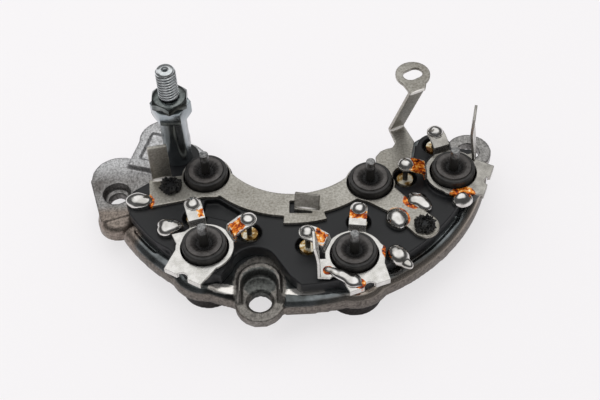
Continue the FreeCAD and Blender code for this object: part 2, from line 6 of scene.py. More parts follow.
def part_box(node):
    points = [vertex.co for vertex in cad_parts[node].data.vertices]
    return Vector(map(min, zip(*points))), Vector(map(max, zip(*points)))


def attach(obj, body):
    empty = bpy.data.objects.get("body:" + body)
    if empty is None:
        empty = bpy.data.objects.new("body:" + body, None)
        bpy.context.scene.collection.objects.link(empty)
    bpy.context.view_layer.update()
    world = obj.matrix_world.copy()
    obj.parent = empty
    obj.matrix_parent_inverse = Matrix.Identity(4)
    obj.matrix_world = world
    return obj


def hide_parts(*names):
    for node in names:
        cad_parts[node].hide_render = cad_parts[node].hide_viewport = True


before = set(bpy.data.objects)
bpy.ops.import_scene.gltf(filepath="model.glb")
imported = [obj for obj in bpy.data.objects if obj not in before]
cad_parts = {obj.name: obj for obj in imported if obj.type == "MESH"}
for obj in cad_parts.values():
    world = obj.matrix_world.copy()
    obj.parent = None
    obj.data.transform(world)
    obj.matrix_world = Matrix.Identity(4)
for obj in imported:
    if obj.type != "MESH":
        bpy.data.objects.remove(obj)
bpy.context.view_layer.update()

mm = 0.001


# Base casting: a die-cast aluminium crescent that carries everything and sheds the diodes' heat.
# Tumbled after casting, so its skin is grey and slightly pitted, smoother on the machined flat
# under the board, with edges rounded by the tumbling.
def linear(code):
    """An sRGB hex colour as linear red, green and blue, with full alpha."""
    parts = [int(code[i:i + 2], 16) / 255 for i in (1, 3, 5)]
    return tuple(c / 12.92 if c < 0.04045 else ((c + 0.055) / 1.055) ** 2.4 for c in parts) + (1.0,)


def add(mat, kind, inputs=None, stops=(), **settings):
    """Adds one node to a material's or the world's tree, with its settings, values and links."""
    node = mat.node_tree.nodes.new(kind)
    for name, value in settings.items():
        setattr(node, name, value)
    for name, value in (inputs or {}).items():
        if isinstance(value, bpy.types.NodeSocket):
            mat.node_tree.links.new(value, node.inputs[name])
        else:
            node.inputs[name].default_value = value
    for i, (place, colour) in enumerate(stops):
        spot = node.color_ramp.elements[i] if i < 2 else node.color_ramp.elements.new(place)
        spot.position = place
        spot.color = colour
    return node


def new_material(name):
    """An empty node material."""
    mat = bpy.data.materials.new(name)
    mat.use_nodes = True
    mat.node_tree.nodes.clear()
    return mat


def only(piece):
    """Makes a piece the one that edit tools and modifiers act on."""
    bpy.ops.object.select_all(action="DESELECT")
    piece.select_set(True)
    bpy.context.view_layer.objects.active = piece


def own_copy(node, name):
    """A new piece with a CAD node's mesh, its loose triangles merged, standing for that node."""
    piece = bpy.data.objects.new(name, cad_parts[node].data.copy())
    bpy.context.scene.collection.objects.link(piece)
    only(piece)
    bpy.ops.object.mode_set(mode="EDIT")
    bpy.ops.mesh.select_all(action="SELECT")
    bpy.ops.mesh.remove_doubles(threshold=0.002 * mm)
    bpy.ops.object.mode_set(mode="OBJECT")
    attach(piece, "root")
    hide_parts(node)
    return piece


def modify(piece, kind, **settings):
    """Adds a modifier with its settings and applies it."""
    step = piece.modifiers.new("shaping", kind)
    for name, value in settings.items():
        setattr(step, name, value)
    bpy.ops.object.modifier_apply(modifier=step.name)


def wear(piece, grain_size, passes, keep=1.0):
    """Wears every edge and corner of a piece round."""
    modify(piece, "REMESH", mode="VOXEL", voxel_size=grain_size * mm)
    modify(piece, "SMOOTH", factor=0.5, iterations=passes)
    if keep < 1:
        modify(piece, "DECIMATE", ratio=keep)
    bpy.ops.object.shade_smooth()


def tumble(node, name, grain_size, passes, keep=1.0):
    """A CAD node's form with its edges worn round, as tumbling or a press leaves it."""
    piece = own_copy(node, name)
    wear(piece, grain_size, passes, keep)
    return piece


def dress(piece, mat):
    """Gives a piece one material all over."""
    piece.data.materials.clear()
    piece.data.materials.append(mat)


def marked(mat, where, spots, square=False, ragged=0.7):
    """Where marks lie, from 0 to 1: spots of middle x, y, length, width and heading, in mm."""
    crumple = add(mat, "ShaderNodeTexNoise",
                  {"Vector": where, "Scale": 700.0, "Detail": 3.0, "Roughness": 0.6})
    raggedness = add(mat, "ShaderNodeMapRange",
                     {"Value": crumple.outputs["Fac"], "From Min": 0.25, "From Max": 0.75,
                      "To Min": -ragged / 2, "To Max": ragged / 2})
    total = None
    for x, y, length, width, heading in spots:
        local = add(mat, "ShaderNodeMapping", {"Vector": where, "Location": (x * mm, y * mm, 0),
                                               "Rotation": (0, 0, math.radians(heading)),
                                               "Scale": (length / 2 * mm, width / 2 * mm, 1.0)},
                    vector_type="TEXTURE")
        if square:
            sides = add(mat, "ShaderNodeVectorMath", {0: local.outputs["Vector"]}, operation="ABSOLUTE")
            split = add(mat, "ShaderNodeSeparateXYZ", {"Vector": sides.outputs["Vector"]})
            reach = add(mat, "ShaderNodeMath",
                        {0: split.outputs["X"], 1: split.outputs["Y"]}, operation="MAXIMUM")
            reach = reach.outputs[0]
        else:
            reach = add(mat, "ShaderNodeVectorMath",
                        {0: local.outputs["Vector"]}, operation="LENGTH").outputs["Value"]
        moved = add(mat, "ShaderNodeMath", {0: reach, 1: raggedness.outputs["Result"]}, operation="ADD")
        inside = add(mat, "ShaderNodeMapRange",
                     {"Value": moved.outputs[0], "From Min": 1.0, "From Max": 0.93})
        if total:
            total = add(mat, "ShaderNodeMath",
                        {0: total, 1: inside.outputs["Result"]}, operation="MAXIMUM").outputs[0]
        else:
            total = inside.outputs["Result"]
    return total


def round_axis(mat, where, x, y):
    """Each point's place from the upright axis through x, y in mm, with its height taken out."""
    moved = add(mat, "ShaderNodeMapping",
                {"Vector": where, "Location": (-x * mm, -y * mm, 0), "Scale": (1, 1, 0)})
    return moved.outputs["Vector"]


# The plate was polished by tumbling and mirrors what is round it, as far as a slanting line
# in front of the ear, and its colour is painted dark as well, a painted reflection of dark
# surroundings. The ear, the arm and the lugs stay rough, with grain of about 0.6 mm dragged
# into streaks, whiter on the arm, and the ear's front lobe is stained brown by handling. Broad
# stains of some 9 mm lie over all of it. Painted highlights lie on the rim by the front lug, and
# right of that lug a painted pale tan reflection lies on its outer edge, some 59 mm from the
# alternator's shaft.
shaft_x, shaft_y = 11.3, 56.8
cast = new_material("tumbled die-cast aluminium")
where = add(cast, "ShaderNodeTexCoord").outputs["Object"]
axes = add(cast, "ShaderNodeSeparateXYZ", {"Vector": where})
from_ear = add(cast, "ShaderNodeMath",
              {0: axes.outputs["Y"], 1: -0.6, 2: axes.outputs["X"]}, operation="MULTIPLY_ADD")
plate_side = add(cast, "ShaderNodeMapRange",
                 {"Value": from_ear.outputs[0], "From Min": -50 * mm, "From Max": -47 * mm})
plate_height = add(cast, "ShaderNodeMapRange",
                   {"Value": axes.outputs["Z"], "From Min": 3.1 * mm, "From Max": 3.7 * mm})
polish = add(cast, "ShaderNodeMath",
             {0: plate_side.outputs["Result"], 1: plate_height.outputs["Result"]},
             operation="MULTIPLY")
drag = add(cast, "ShaderNodeTexNoise", {"Vector": where, "Scale": 160.0, "Detail": 2.0})
dragged = add(cast, "ShaderNodeMix", {0: 0.006, 4: where, 5: drag.outputs["Color"]}, data_type="VECTOR")
streaks = add(cast, "ShaderNodeMapping",
              {"Vector": dragged.outputs[1], "Rotation": (0, 0, math.radians(62)),
               "Scale": (1.0, 0.28, 1.0)})
grain = add(cast, "ShaderNodeTexNoise",
            {"Vector": streaks.outputs["Vector"], "Scale": 1700.0, "Detail": 4.0,
             "Roughness": 0.72})
pits = add(cast, "ShaderNodeTexNoise",
           {"Vector": where, "Scale": 1500.0, "Detail": 3.0, "Roughness": 0.7})
patches = add(cast, "ShaderNodeTexNoise",
              {"Vector": where, "Scale": 110.0, "Detail": 4.0, "Roughness": 0.55})
arm_height = add(cast, "ShaderNodeMapRange",
                 {"Value": axes.outputs["Y"], "From Min": 46 * mm, "From Max": 53 * mm})
lobe = add(cast, "ShaderNodeMapRange",
           {"Value": axes.outputs["Y"], "From Min": 36.5 * mm, "From Max": 34 * mm})
lobe_side = add(cast, "ShaderNodeMapRange",
                {"Value": axes.outputs["X"], "From Min": -32 * mm, "From Max": -35 * mm})
handled = add(cast, "ShaderNodeMath",
              {0: lobe.outputs["Result"], 1: lobe_side.outputs["Result"]}, operation="MULTIPLY")
tone = add(cast, "ShaderNodeValToRGB", {"Fac": patches.outputs["Fac"]},
           stops=[(0.34, linear("#86827F")), (0.60, linear("#B2B0AE"))])
lighter = add(cast, "ShaderNodeMix",
              {0: arm_height.outputs["Result"], 6: tone.outputs["Color"], 7: linear("#E4E4E5")},
              data_type="RGBA")
browner = add(cast, "ShaderNodeMix",
              {0: handled.outputs[0], 6: lighter.outputs[2], 7: linear("#A3978D")},
              data_type="RGBA")
# Painted shade: the bosses below the casting's bottom are painted dark; above that, the rim's lower wall
# keeps a grey-brown tone.
above_boss_shade = add(cast, "ShaderNodeMapRange",
                   {"Value": axes.outputs["Z"], "From Min": -0.8 * mm, "From Max": 0.4 * mm})
rim_tone_and_boss_shade = add(cast, "ShaderNodeMix",
                {0: above_boss_shade.outputs["Result"], 6: linear("#4A4644"), 7: linear("#8A837C")},
                data_type="RGBA")
rough_tone_and_boss_shade = add(cast, "ShaderNodeMix",
             {0: plate_side.outputs["Result"], 6: browner.outputs[2], 7: rim_tone_and_boss_shade.outputs[2]},
             data_type="RGBA")
in_lug = marked(cast, where, ((0.0, 3.4, 15.6, 22.4, 0),), ragged=0.1)
in_right_lug = marked(cast, where, ((65.4, 52.9, 15.0, 15.0, 0),), ragged=0.1)
# The lug's slot is coloured darker.
in_slot = marked(cast, where, ((0.0, 5.6, 10.0, 8.0, 0),), ragged=0.2)
lug_tone = add(cast, "ShaderNodeMix",
               {0: in_lug, 6: rough_tone_and_boss_shade.outputs[2], 7: linear("#97938D")}, data_type="RGBA")
right_tone = add(cast, "ShaderNodeMix", {0: in_right_lug, 6: lug_tone.outputs[2], 7: linear("#B9B7B4")},
                 data_type="RGBA")
darker_in_slot = add(cast, "ShaderNodeMix",
            {0: in_slot, 6: right_tone.outputs[2], 7: linear("#6C6E6B")}, data_type="RGBA")
off_lug = add(cast, "ShaderNodeMapRange", {"Value": in_lug, "To Min": 1.0, "To Max": 0.0})
polish = add(cast, "ShaderNodeMath",
             {0: polish.outputs[0], 1: off_lug.outputs["Result"]}, operation="MULTIPLY")
both = add(cast, "ShaderNodeMath", {0: grain.outputs["Fac"], 1: pits.outputs["Fac"]}, operation="ADD")
half = add(cast, "ShaderNodeMath", {0: both.outputs[0], 1: 0.5}, operation="MULTIPLY")
speck = add(cast, "ShaderNodeValToRGB", {"Fac": half.outputs[0]},
            stops=[(0.40, linear("#7B7A79")), (0.58, linear("#FFFFFF"))])
grainy = add(cast, "ShaderNodeMix", {0: 0.75, 6: darker_in_slot.outputs[2], 7: speck.outputs["Color"]},
             data_type="RGBA", blend_type="MULTIPLY")
# Painted reflection: the polished plate's colour is darkened to stand for the dark surroundings it mirrors.
dark_reflection_tone = add(cast, "ShaderNodeValToRGB", {"Fac": patches.outputs["Fac"]},
               stops=[(0.32, linear("#3E3A38")), (0.50, linear("#565A5A")), (0.64, linear("#7F8486"))])
# Painted highlight: two near-white streaks on the polished rim, either side of the front lug.
painted_glint = marked(cast, where, ((-9.4, 3.3, 11.0, 3.0, -12), (12.2, 1.0, 13.0, 2.4, -2)), ragged=0.2)
# Painted reflection: a pale tan band on the rim's outer edge right of the front lug, some 59 mm from the
# shaft.
reach = add(cast, "ShaderNodeVectorMath", {0: round_axis(cast, where, shaft_x, shaft_y)}, operation="LENGTH")
at_edge = add(cast, "ShaderNodeMapRange",
              {"Value": reach.outputs["Value"], "From Min": 58.2 * mm, "From Max": 59.4 * mm})
at_right = add(cast, "ShaderNodeMapRange",
               {"Value": axes.outputs["X"], "From Min": 14 * mm, "From Max": 30 * mm})
painted_edge_reflection = add(cast, "ShaderNodeMath", {0: at_edge.outputs["Result"], 1: at_right.outputs["Result"]},
                operation="MULTIPLY")
with_edge_reflection = add(cast, "ShaderNodeMix",
            {0: painted_edge_reflection.outputs[0], 6: dark_reflection_tone.outputs["Color"], 7: linear("#B5ABA0")},
            data_type="RGBA")
with_painted_glint = add(cast, "ShaderNodeMix",
             {0: painted_glint, 6: with_edge_reflection.outputs[2], 7: linear("#F6F2EC")}, data_type="RGBA")
colour = add(cast, "ShaderNodeMix", {0: polish.outputs[0], 6: grainy.outputs[2], 7: with_painted_glint.outputs[2]},
             data_type="RGBA")
gloss = add(cast, "ShaderNodeMapRange", {"Value": polish.outputs[0], "To Min": 0.36, "To Max": 0.15})
relief = add(cast, "ShaderNodeMapRange", {"Value": polish.outputs[0], "To Min": 0.55, "To Max": 0.08})
bump = add(cast, "ShaderNodeBump", {"Height": half.outputs[0], "Strength": relief.outputs["Result"],
                                    "Distance": 0.16 * mm})
skin = add(cast, "ShaderNodeBsdfPrincipled",
           {"Base Color": colour.outputs[2], "Metallic": 0.9, "Roughness": gloss.outputs["Result"],
            "Normal": bump.outputs["Normal"]})
add(cast, "ShaderNodeOutputMaterial", {"Surface": skin.outputs["BSDF"]})

casting = tumble("base_casting", "die_cast_base", 0.36, 3, 0.6)
dress(casting, cast)


# Insulator board: black glass-filled moulding on the casting. Satin, with a faint mottle. It
# comes out of the tool with small radii on its edges.
moulding = new_material("black glass-filled moulding")
where = add(moulding, "ShaderNodeTexCoord").outputs["Object"]
mottle = add(moulding, "ShaderNodeTexNoise",
             {"Vector": where, "Scale": 260.0, "Detail": 5.0, "Roughness": 0.6})
fine = add(moulding, "ShaderNodeTexNoise", {"Vector": where, "Scale": 2600.0, "Detail": 2.0})
tone = add(moulding, "ShaderNodeValToRGB", {"Fac": mottle.outputs["Fac"]},
           stops=[(0.35, linear("#0F1012")), (0.68, linear("#1A1B1D"))])
gloss = add(moulding, "ShaderNodeMapRange",
            {"Value": mottle.outputs["Fac"], "From Min": 0.3, "From Max": 0.7,
             "To Min": 0.36, "To Max": 0.50})
bump = add(moulding, "ShaderNodeBump",
           {"Height": fine.outputs["Fac"], "Strength": 0.2, "Distance": 0.05 * mm})
skin = add(moulding, "ShaderNodeBsdfPrincipled",
           {"Base Color": tone.outputs["Color"], "Roughness": gloss.outputs["Result"], "IOR": 1.5,
            "Normal": bump.outputs["Normal"]})
add(moulding, "ShaderNodeOutputMaterial", {"Surface": skin.outputs["BSDF"]})

# Its left end follows the rim: a block shaped as an arc takes off what stands past the groove that
# runs inside the rim. Radius and heights in mm, bearings in degrees seen from the shaft.
groove_radius = 56.2
trim_from, trim_to = -156, -128
trim_low, trim_height = 4.0, 6.0
board = own_copy("insulator_board", "moulded_board")
shaft_low = (shaft_x * mm, shaft_y * mm, trim_low * mm)
bpy.ops.object.select_all(action="DESELECT")
bpy.ops.mesh.primitive_circle_add(vertices=360, radius=groove_radius * mm, fill_type="NOTHING",
                                  location=shaft_low)
trimmer = bpy.context.active_object
bpy.ops.object.transform_apply(location=True)
bpy.ops.object.mode_set(mode="EDIT")
bpy.ops.mesh.select_all(action="DESELECT")
bpy.ops.object.mode_set(mode="OBJECT")
for vertex in trimmer.data.vertices:
    bearing = math.degrees(math.atan2(vertex.co.y - shaft_y * mm, vertex.co.x - shaft_x * mm))
    vertex.select = not trim_from < bearing < trim_to
bpy.ops.object.mode_set(mode="EDIT")
bpy.ops.mesh.delete(type="VERT")
bpy.ops.mesh.select_all(action="SELECT")
bpy.ops.mesh.extrude_region_move()
bpy.ops.transform.resize(value=(1.4, 1.4, 1.0), center_override=shaft_low)
bpy.ops.mesh.select_all(action="SELECT")
bpy.ops.mesh.extrude_region_move(TRANSFORM_OT_translate={"value": (0, 0, trim_height * mm)})
bpy.ops.mesh.select_all(action="SELECT")
bpy.ops.mesh.normals_make_consistent(inside=False)
bpy.ops.object.mode_set(mode="OBJECT")
only(board)
modify(board, "BOOLEAN", object=trimmer, operation="DIFFERENCE", solver="EXACT")
bpy.data.objects.remove(trimmer)
wear(board, 0.30, 2, 0.6)
dress(board, moulding)

# Two stakes of the moulding stick up through the bus bar. Each was melted over it with a hot tool
# and froze as a rough ring of lumps round a sunk middle.
melt = bpy.data.textures.new("melted lumps", "CLOUDS")
melt.noise_scale = 0.55 * mm
melt.noise_depth = 3
melt.contrast = 2.0
molten = new_material("melted black moulding")
where = add(molten, "ShaderNodeTexCoord").outputs["Object"]
froth = add(molten, "ShaderNodeTexNoise",
            {"Vector": where, "Scale": 1500.0, "Detail": 3.0, "Roughness": 0.7})
tone = add(molten, "ShaderNodeValToRGB", {"Fac": froth.outputs["Fac"]},
           stops=[(0.45, linear("#0E0E0F")), (0.70, linear("#34322F"))])
bump = add(molten, "ShaderNodeBump",
           {"Height": froth.outputs["Fac"], "Strength": 0.8, "Distance": 0.4 * mm})
skin = add(molten, "ShaderNodeBsdfPrincipled",
           {"Base Color": tone.outputs["Color"], "Roughness": 0.24, "IOR": 1.5,
            "Normal": bump.outputs["Normal"]})
add(molten, "ShaderNodeOutputMaterial", {"Surface": skin.outputs["BSDF"]})
stake_places = ((-25.56, 37.73), (47.93, 18.77))
stake_top = 10.55
for number, (x, y) in enumerate(stake_places, 1):
    bpy.ops.object.select_all(action="DESELECT")
    bpy.ops.mesh.primitive_torus_add(major_radius=2.1 * mm, minor_radius=0.8 * mm, major_segments=120,
                                     minor_segments=36, location=(x * mm, y * mm, stake_top * mm))
    ring = bpy.context.active_object
    ring.name = "melted_stake_head_%d" % number
    bpy.ops.object.transform_apply(location=True)
    modify(ring, "DISPLACE", texture=melt, strength=1.5 * mm, mid_level=0.45, texture_coords="GLOBAL")
    bpy.ops.object.shade_smooth()
    dress(ring, molten)
    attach(ring, "root")

dress(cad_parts["insulating_washer"], moulding)
for number in (1, 2, 3):
    dress(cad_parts["exciter_diode_%d" % number], moulding)


# Bus bar: one pressed copper sheet with a dull tin plating that shows a fine even grain. It is
# stamped, folded up into a tab, a flap and a rising arm, and held down by two melted stakes. Amber
# flux dried on it in a thin rim round each solder drop.
def flux_tone(mat, where):
    """Dried flux: dark brown where it is thick, through orange to yellow where it is thin."""
    thickness = add(mat, "ShaderNodeTexNoise",
                    {"Vector": where, "Scale": 800.0, "Detail": 3.0, "Roughness": 0.6})
    return add(mat, "ShaderNodeValToRGB", {"Fac": thickness.outputs["Fac"]},
               stops=[(0.36, linear("#3C1205")), (0.47, linear("#A03A08")), (0.55, linear("#E8800F")),
                      (0.62, linear("#F9BC62")), (0.68, linear("#FBE9D2"))]).outputs["Color"]


bar_spots = ((40.4, 21.9, 8.0, 7.3, -71), (46.5, 28.4, 8.4, 6.9, 10), (-34.0, 32.7, 8.3, 6.6, -31))
dull_tin = new_material("dull tin plating on copper sheet")
where = add(dull_tin, "ShaderNodeTexCoord").outputs["Object"]
grain = add(dull_tin, "ShaderNodeTexNoise",
            {"Vector": where, "Scale": 1500.0, "Detail": 3.0, "Roughness": 0.65})
stains = add(dull_tin, "ShaderNodeTexNoise", {"Vector": where, "Scale": 90.0, "Detail": 3.0})
tone = add(dull_tin, "ShaderNodeValToRGB", {"Fac": stains.outputs["Fac"]},
           stops=[(0.32, linear("#B3AFA6")), (0.64, linear("#D0CDC5"))])
speck = add(dull_tin, "ShaderNodeValToRGB", {"Fac": grain.outputs["Fac"]},
            stops=[(0.36, linear("#B4B1AA")), (0.62, linear("#FFFFFF"))])
plated = add(dull_tin, "ShaderNodeMix", {0: 0.7, 6: tone.outputs["Color"], 7: speck.outputs["Color"]},
             data_type="RGBA", blend_type="MULTIPLY")
flux_there = marked(dull_tin, where, bar_spots, ragged=0.12)
colour = add(dull_tin, "ShaderNodeMix",
             {0: flux_there, 6: plated.outputs[2], 7: flux_tone(dull_tin, where)},
             data_type="RGBA")
gloss = add(dull_tin, "ShaderNodeMapRange", {"Value": flux_there, "To Min": 0.40, "To Max": 0.14})
metal = add(dull_tin, "ShaderNodeMapRange", {"Value": flux_there, "To Min": 0.92, "To Max": 0.5})
# Painted highlights lie along the folds, where the bends catch the light: the arm's two, the upright tab's
# and the flap's.
# x, y, z, length, width, height and heading of each, in mm and degrees.
painted_fold_highlights = ((43.4, 57.4, 10.3, 6.4, 1.5, 1.5, 24), (48.1, 50.1, 32.4, 6.6, 1.3, 1.7, 24),
         (-28.3, 40.7, 10.4, 7.4, 1.4, 1.4, 10), (14.3, 27.2, 10.2, 8.6, 1.2, 1.2, -12))
fold_highlight = None
for x, y, z, length, width, height, heading in painted_fold_highlights:
    fold = add(dull_tin, "ShaderNodeMapping",
               {"Vector": where, "Location": (x * mm, y * mm, z * mm),
                "Rotation": (0, 0, math.radians(heading)),
                "Scale": (length / 2 * mm, width / 2 * mm, height / 2 * mm)},
               vector_type="TEXTURE")
    reach = add(dull_tin, "ShaderNodeVectorMath", {0: fold.outputs["Vector"]}, operation="LENGTH")
    near = add(dull_tin, "ShaderNodeMapRange",
               {"Value": reach.outputs["Value"], "From Min": 1.0, "From Max": 0.7})
    if fold_highlight:
        fold_highlight = add(dull_tin, "ShaderNodeMath",
                    {0: fold_highlight, 1: near.outputs["Result"]}, operation="MAXIMUM").outputs[0]
    else:
        fold_highlight = near.outputs["Result"]
colour = add(dull_tin, "ShaderNodeMix",
             {0: fold_highlight, 6: colour.outputs[2], 7: linear("#FBF8F2")}, data_type="RGBA")
metal = add(dull_tin, "ShaderNodeMix",
            {0: fold_highlight, 2: metal.outputs["Result"], 3: 0.2}, data_type="FLOAT")
bump = add(dull_tin, "ShaderNodeBump",
           {"Height": grain.outputs["Fac"], "Strength": 0.25, "Distance": 0.08 * mm})
skin = add(dull_tin, "ShaderNodeBsdfPrincipled",
           {"Base Color": colour.outputs[2], "Metallic": metal.outputs[0],
            "Roughness": gloss.outputs["Result"], "Normal": bump.outputs["Normal"]})
add(dull_tin, "ShaderNodeOutputMaterial", {"Surface": skin.outputs["BSDF"]})

bar = tumble("bus_bar", "pressed_bus_bar", 0.18, 2, 0.5)
dress(bar, dull_tin)


# Phase plates: thinner copper sheet with a bright tin plating. Each is a ring round its diode with
# a foot, two tabs and, on two of them, an upright blade. Nearly white where it mirrors the studio,
# greyer on the third. Flux covers the slope of each tab below its solder and the plates' edges.
def tin_for_plate(name, dark, light, tabs, edges):
    mat = new_material(name)
    where = add(mat, "ShaderNodeTexCoord").outputs["Object"]
    haze = add(mat, "ShaderNodeTexNoise",
               {"Vector": where, "Scale": 420.0, "Detail": 4.0, "Roughness": 0.6})
    tone = add(mat, "ShaderNodeValToRGB", {"Fac": haze.outputs["Fac"]},
               stops=[(0.30, linear(dark)), (0.62, linear(light))])
    on_tabs = marked(mat, where, tabs, square=True, ragged=0.8)
    on_edges = marked(mat, where, edges, ragged=0.12)
    flux_there = add(mat, "ShaderNodeMath", {0: on_tabs, 1: on_edges}, operation="MAXIMUM").outputs[0]
    colour = add(mat, "ShaderNodeMix",
                 {0: flux_there, 6: tone.outputs["Color"], 7: flux_tone(mat, where)},
                 data_type="RGBA")
    rough = add(mat, "ShaderNodeMapRange",
                {"Value": haze.outputs["Fac"], "From Min": 0.3, "From Max": 0.7,
                 "To Min": 0.30, "To Max": 0.20})
    gloss = add(mat, "ShaderNodeMix",
                {0: flux_there, 2: rough.outputs["Result"], 3: 0.12}, data_type="FLOAT")
    metal = add(mat, "ShaderNodeMapRange", {"Value": flux_there, "To Min": 0.9, "To Max": 0.5})
    skin = add(mat, "ShaderNodeBsdfPrincipled",
               {"Base Color": colour.outputs[2], "Metallic": metal.outputs["Result"],
                "Roughness": gloss.outputs[0]})
    add(mat, "ShaderNodeOutputMaterial", {"Surface": skin.outputs["BSDF"]})
    return mat


# Each plate's tin, dark and light, then where flux lies on its tabs and on its edges
plate_tin = (("bright tin plating on copper sheet", "#CFCDC7", "#E9E7E3",
              ((-16.2, 23.4, 2.2, 1.9, 104.5), (-5.7, 18.0, 4.2, 4.3, 27)),
              ((-25.4, 22.2, 8.4, 6.8, -31),)),
             ("bright tin plating on copper sheet, second plate", "#CFCDC7", "#E9E7E3",
              ((28.8, 20.0, 2.6, 5.6, 81), (17.7, 12.8, 3.4, 4.4, 156)),
              ((38.6, 8.9, 8.4, 8.0, 109), (19.4, 3.2, 3.2, 3.2, -35), (27.6, -1.6, 4.2, 3.6, -35))),
             ("greyed tin plating on copper sheet", "#9B9892", "#BAB7B0",
              ((54.3, 49.4, 0.7, 0.7, 107.5), (47.6, 37.4, 4.4, 5.6, 178)),
              ((59.8, 28.1, 8.0, 7.0, 17),)))
for number, look in enumerate(plate_tin, 1):
    plate = tumble("phase_plate_%d" % number, "tinned_phase_plate_%d" % number, 0.11, 2, 0.4)
    dress(plate, tin_for_plate(*look))


# Press-fit diodes: blackened cups pressed into the casting, each filled with grey resin that dips
# to a fluted funnel round its lead. The resin crept up the lead, so only the lead's tip is bright.
black_cup = new_material("blackened copper cup")
where = add(black_cup, "ShaderNodeTexCoord").outputs["Object"]
rub = add(black_cup, "ShaderNodeTexNoise", {"Vector": where, "Scale": 500.0, "Detail": 4.0})
tone = add(black_cup, "ShaderNodeValToRGB", {"Fac": rub.outputs["Fac"]},
           stops=[(0.35, linear("#1C1B1A")), (0.70, linear("#312F2D"))])
skin = add(black_cup, "ShaderNodeBsdfPrincipled",
           {"Base Color": tone.outputs["Color"], "Roughness": 0.40, "IOR": 1.5})
add(black_cup, "ShaderNodeOutputMaterial", {"Surface": skin.outputs["BSDF"]})


funnel_mouth, funnel_floor = 4.5, 2.4
flute_count = 16


def potting(number, x, y):
    """Resin with its funnel's flutes centred on one diode."""
    mat = new_material("grey potting resin, diode %d" % number)
    where = add(mat, "ShaderNodeTexCoord").outputs["Object"]
    local = round_axis(mat, where, x, y)
    reach = add(mat, "ShaderNodeVectorMath", {0: local}, operation="LENGTH").outputs["Value"]
    axes = add(mat, "ShaderNodeSeparateXYZ", {"Vector": local})
    angle = add(mat, "ShaderNodeMath",
                {0: axes.outputs["Y"], 1: axes.outputs["X"]}, operation="ARCTAN2")
    turns = add(mat, "ShaderNodeMath", {0: angle.outputs[0], 1: flute_count}, operation="MULTIPLY")
    wave = add(mat, "ShaderNodeMath", {0: turns.outputs[0]}, operation="SINE")
    funnel = add(mat, "ShaderNodeMapRange",
                 {"Value": reach, "From Min": funnel_mouth * mm, "From Max": funnel_floor * mm})
    flutes = add(mat, "ShaderNodeMath",
                 {0: wave.outputs[0], 1: funnel.outputs["Result"]}, operation="MULTIPLY")
    cloud = add(mat, "ShaderNodeTexNoise",
                {"Vector": where, "Scale": 500.0, "Detail": 4.0, "Roughness": 0.65})
    face = add(mat, "ShaderNodeValToRGB", {"Fac": cloud.outputs["Fac"]},
               stops=[(0.35, linear("#3D3A38")), (0.68, linear("#5A5653"))])
    # Painted shade: the resin is painted dark down in the funnel.
    funnel_painted_shade = add(mat, "ShaderNodeMix",
               {0: funnel.outputs["Result"], 6: face.outputs["Color"], 7: linear("#1B1A1A")},
               data_type="RGBA")
    bump = add(mat, "ShaderNodeBump",
               {"Height": flutes.outputs[0], "Strength": 0.8, "Distance": 0.16 * mm})
    skin = add(mat, "ShaderNodeBsdfPrincipled",
               {"Base Color": funnel_painted_shade.outputs[2], "Roughness": 0.38, "IOR": 1.5,
                "Normal": bump.outputs["Normal"]})
    add(mat, "ShaderNodeOutputMaterial", {"Surface": skin.outputs["BSDF"]})
    return mat


def lead_wire(name, tip):
    """Tinned wire, pitted and bright at its tip, with dark resin below the tip's height in mm."""
    mat = new_material(name)
    where = add(mat, "ShaderNodeTexCoord").outputs["Object"]
    pitted = add(mat, "ShaderNodeTexNoise",
                 {"Vector": where, "Scale": 1300.0, "Detail": 4.0, "Roughness": 0.7})
    axes = add(mat, "ShaderNodeSeparateXYZ", {"Vector": where})
    wavy = add(mat, "ShaderNodeMath", {0: pitted.outputs["Fac"], 1: 1.2 * mm, 2: axes.outputs["Z"]},
               operation="MULTIPLY_ADD")
    below = add(mat, "ShaderNodeMapRange", {"Value": wavy.outputs[0], "From Min": (tip - 0.8) * mm,
                                            "From Max": (tip - 2.2) * mm})
    tone = add(mat, "ShaderNodeValToRGB", {"Fac": pitted.outputs["Fac"]},
               stops=[(0.38, linear("#6F6F6F")), (0.62, linear("#B4B4B3"))])
    colour = add(mat, "ShaderNodeMix",
                 {0: below.outputs["Result"], 6: tone.outputs["Color"], 7: linear("#232220")},
                 data_type="RGBA")
    metal = add(mat, "ShaderNodeMapRange",
                {"Value": below.outputs["Result"], "To Min": 1.0, "To Max": 0.2})
    bump = add(mat, "ShaderNodeBump",
               {"Height": pitted.outputs["Fac"], "Strength": 0.6, "Distance": 0.15 * mm})
    skin = add(mat, "ShaderNodeBsdfPrincipled",
               {"Base Color": colour.outputs[2], "Metallic": metal.outputs["Result"],
                "Roughness": 0.36, "Normal": bump.outputs["Normal"]})
    add(mat, "ShaderNodeOutputMaterial", {"Surface": skin.outputs["BSDF"]})
    return mat


inner_lead = lead_wire("tinned lead wire, inner row", 19.2)
outer_lead = lead_wire("tinned lead wire, outer row", 20.7)
for number in range(1, 6):
    low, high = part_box("press_diode_lead_%d" % number)
    x, y = [500 * (a + b) for a, b in list(zip(low, high))[:2]]
    cup = tumble("press_diode_cup_%d" % number, "blackened_cup_%d" % number, 0.17, 3, 0.4)
    dress(cup, black_cup)
    seal = tumble("press_diode_seal_%d" % number, "fluted_resin_seal_%d" % number, 0.13, 4, 0.4)
    dress(seal, potting(number, x, y))
    dress(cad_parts["press_diode_lead_%d" % number], inner_lead if number < 3 else outer_lead)


